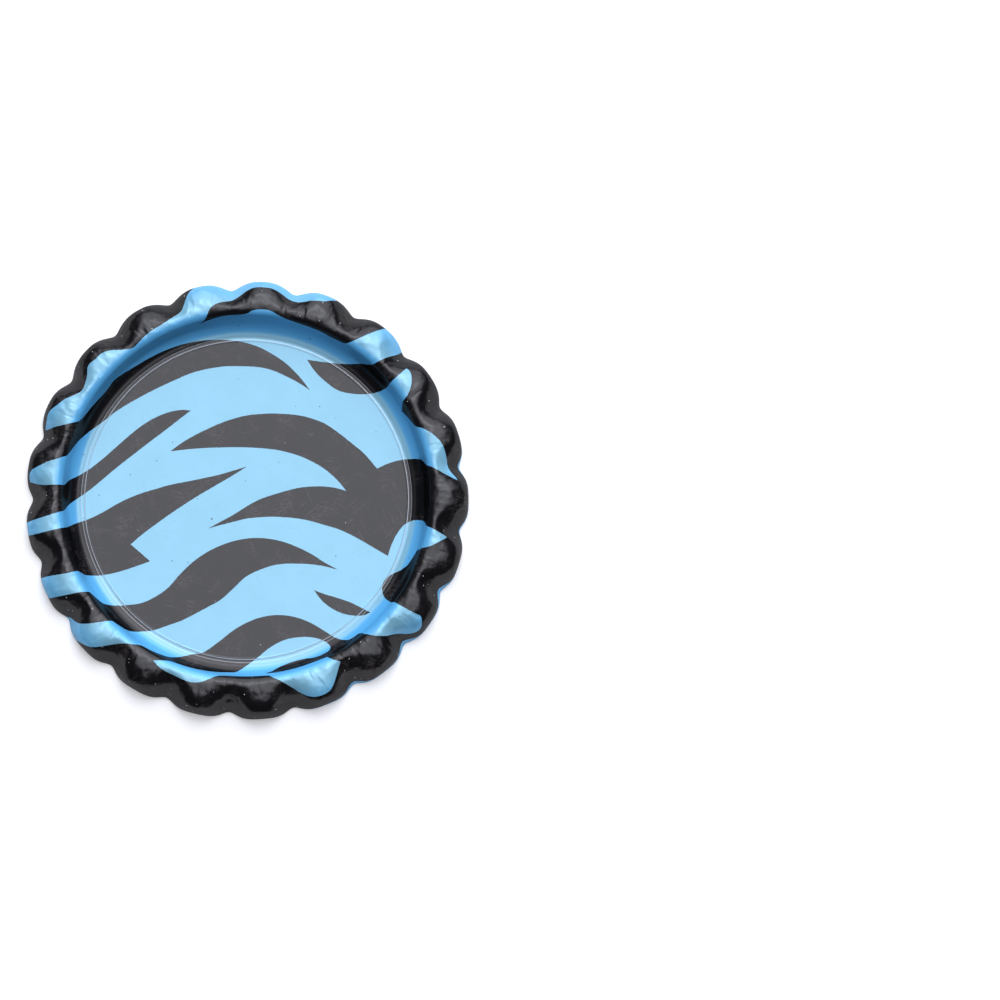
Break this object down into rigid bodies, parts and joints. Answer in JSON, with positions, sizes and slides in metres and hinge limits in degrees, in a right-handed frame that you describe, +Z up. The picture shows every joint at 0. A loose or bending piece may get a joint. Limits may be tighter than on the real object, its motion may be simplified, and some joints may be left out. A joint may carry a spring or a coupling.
{
  "type": "flattened bottle cap",
  "caption": "Flattened crown bottle cap in printed tinplate, lying inside up, with a round recessed floor and a fluted rim.",
  "frame": {"origin": "centre of the floor's underside, on the surface that the cap lies on", "axes": "+Z up along the cap's axis, out of the recess; +X and +Y across the floor"},
  "size_m": [0.0338, 0.0339, 0.0024],
  "materials": {
    "printed_tinplate": "gloss lacquer over a blue and black stripe print on both faces, bare steel at the raw edge"
  },
  "bodies": {
    "root": {"cap": "printed_tinplate"}
  },
  "joints": []
}
